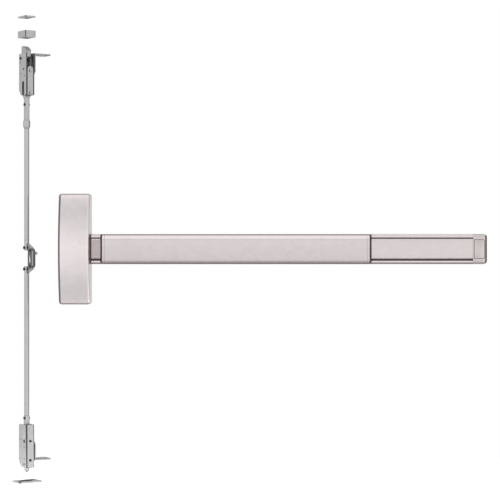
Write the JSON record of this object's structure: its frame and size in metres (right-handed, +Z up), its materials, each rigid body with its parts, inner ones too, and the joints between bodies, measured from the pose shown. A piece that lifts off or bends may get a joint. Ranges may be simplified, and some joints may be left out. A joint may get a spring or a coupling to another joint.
{
  "type": "vertical rod exit device",
  "caption": "Panic touch rail with a lock case at its left end, and the separate concealed vertical rods, latches and strikes that the bar retracts.",
  "frame": {"origin": "middle of the lock case's back face, on the face of the door", "axes": "+X along the rail to its end cap, +Y into the door, +Z up"},
  "size_m": [0.8766, 0.1166, 0.8668],
  "materials": {
    "satin_steel": "satin",
    "satin_bar": "satin",
    "satin_infill": "satin",
    "zinc_plate": "zinc plated",
    "rod_steel": "satin",
    "dark_pin": "blackened",
    "cast_steel": "as cast",
    "spring_steel": "oiled"
  },
  "bodies": {
    "fixed_parts": {"case_chassis": "zinc_plate", "case_cover": "satin_steel", "cover_screw_top": "zinc_plate", "cover_screw_bottom": "zinc_plate", "lever_pivot_pin": "rod_steel", "rail_base_channel": "zinc_plate", "left_rail_housing": "satin_steel", "left_filler_plate": "satin_infill", "right_rail_housing": "satin_steel", "rail_cover_plate": "satin_infill", "end_cap": "satin_steel", "end_cap_bracket": "zinc_plate", "end_cap_screw_top": "zinc_plate", "end_cap_screw_bottom": "zinc_plate", "rocker_bracket_left": "zinc_plate", "rocker_bracket_right": "zinc_plate", "rocker_pin_left": "rod_steel", "rocker_pin_right": "rod_steel", "spring_anchor": "zinc_plate", "top_strike_plate": "zinc_plate", "top_strike_box": "zinc_plate", "top_latch_case": "zinc_plate", "top_latch_cover": "zinc_plate", "top_cover_screw_upper": "dark_pin", "top_cover_screw_lower": "dark_pin", "top_latch_bracket": "zinc_plate", "bolt_pivot_pin": "dark_pin", "connector_frame": "zinc_plate", "upper_crank_pin": "dark_pin", "lower_crank_pin": "dark_pin", "bottom_latch_case": "zinc_plate", "bottom_latch_guide": "cast_steel", "bottom_case_screw_upper": "dark_pin", "bottom_case_screw_lower": "dark_pin", "bottom_latch_bracket": "zinc_plate", "floor_strike": "zinc_plate"},
    "bar": {"push_bar": "satin_bar", "bar_end_cap_left": "satin_bar", "bar_end_cap_right": "satin_bar", "bar_bracket_left": "zinc_plate", "bar_bracket_right": "zinc_plate"},
    "left_rocker": {"rocker_left": "cast_steel"},
    "right_rocker": {"rocker_right": "cast_steel"},
    "link": {"actuator_link": "rod_steel", "return_spring": "spring_steel"},
    "lever": {"lift_lever": "cast_steel"},
    "top_rod_group": {"top_rod": "rod_steel", "top_rod_coupling": "rod_steel", "top_latch_slide": "rod_steel", "slide_tail_pin": "dark_pin", "bolt_drive_pin": "rod_steel", "top_rod_pin": "dark_pin"},
    "top_bolt": {"top_latch_bolt": "cast_steel"},
    "upper_crank_body": {"upper_crank": "cast_steel"},
    "lower_crank_body": {"lower_crank": "cast_steel"},
    "crank_strap": {"crank_link": "rod_steel"},
    "bottom_rod_group": {"bottom_rod": "rod_steel", "bottom_rod_pin": "dark_pin", "bottom_bolt": "rod_steel", "bolt_tail_pin": "dark_pin"}
  },
  "joints": [
    {"name": "push_bar_press", "type": "slide", "parent": "fixed_parts", "child": "bar", "axis": [0, 1, 0], "range_m": [0, 0.016], "stiffness_N_per_m": 900, "springref_m": -0.012},
    {"name": "left_rocker_turn", "type": "hinge", "parent": "fixed_parts", "child": "left_rocker", "pos_m": [0.1322, -0.032, 0], "axis": [0, 0, 1], "range_deg": [0, 30.93]},
    {"name": "right_rocker_turn", "type": "hinge", "parent": "fixed_parts", "child": "right_rocker", "pos_m": [0.4282, -0.032, 0], "axis": [0, 0, 1], "range_deg": [0, 30.93]},
    {"name": "link_slide", "type": "slide", "parent": "fixed_parts", "child": "link", "axis": [-1, 0, 0], "range_m": [0, 0.0064], "deforming": ["return_spring"]},
    {"name": "lift_lever_turn", "type": "hinge", "parent": "fixed_parts", "child": "lever", "pos_m": [-0.006, 0, -0.022], "axis": [0, -1, 0], "range_deg": [0, 16.73]},
    {"name": "top_rod_slide", "type": "slide", "parent": "fixed_parts", "child": "top_rod_group", "axis": [0, 0, -1], "range_m": [0, 0.01]},
    {"name": "top_bolt_swing", "type": "hinge", "parent": "fixed_parts", "child": "top_bolt", "pos_m": [-0.0998, 0.02877, 0.3555], "axis": [0.8161, 0.5779, 0], "range_deg": [0, 70]},
    {"name": "upper_crank_turn", "type": "hinge", "parent": "fixed_parts", "child": "upper_crank_body", "pos_m": [-0.0846, 0.00731, -0.0024], "axis": [-0.8161, -0.5779, 0], "range_deg": [0, 31.05]},
    {"name": "lower_crank_turn", "type": "hinge", "parent": "fixed_parts", "child": "lower_crank_body", "pos_m": [-0.0846, 0.00731, -0.032], "axis": [0.8161, 0.5779, 0], "range_deg": [0, 31.05]},
    {"name": "crank_link_slide", "type": "slide", "parent": "fixed_parts", "child": "crank_strap", "axis": [0, 0, -1], "range_m": [0, 0.00268]},
    {"name": "bottom_rod_slide", "type": "slide", "parent": "fixed_parts", "child": "bottom_rod_group", "axis": [0, 0, 1], "range_m": [0, 0.01]}
  ],
  "couplings": [
    {"joint": "left_rocker_turn", "follows": "push_bar_press", "rad_per_m": 33.742},
    {"joint": "right_rocker_turn", "follows": "push_bar_press", "rad_per_m": 33.742},
    {"joint": "link_slide", "follows": "push_bar_press", "ratio": 0.4},
    {"joint": "lift_lever_turn", "follows": "push_bar_press", "rad_per_m": 18.247},
    {"joint": "top_rod_slide", "follows": "push_bar_press", "ratio": 0.625},
    {"joint": "top_bolt_swing", "follows": "push_bar_press", "rad_per_m": 76.358},
    {"joint": "upper_crank_turn", "follows": "push_bar_press", "rad_per_m": 33.868},
    {"joint": "lower_crank_turn", "follows": "push_bar_press", "rad_per_m": 33.868},
    {"joint": "crank_link_slide", "follows": "push_bar_press", "ratio": 0.16728},
    {"joint": "bottom_rod_slide", "follows": "push_bar_press", "ratio": 0.625}
  ]
}
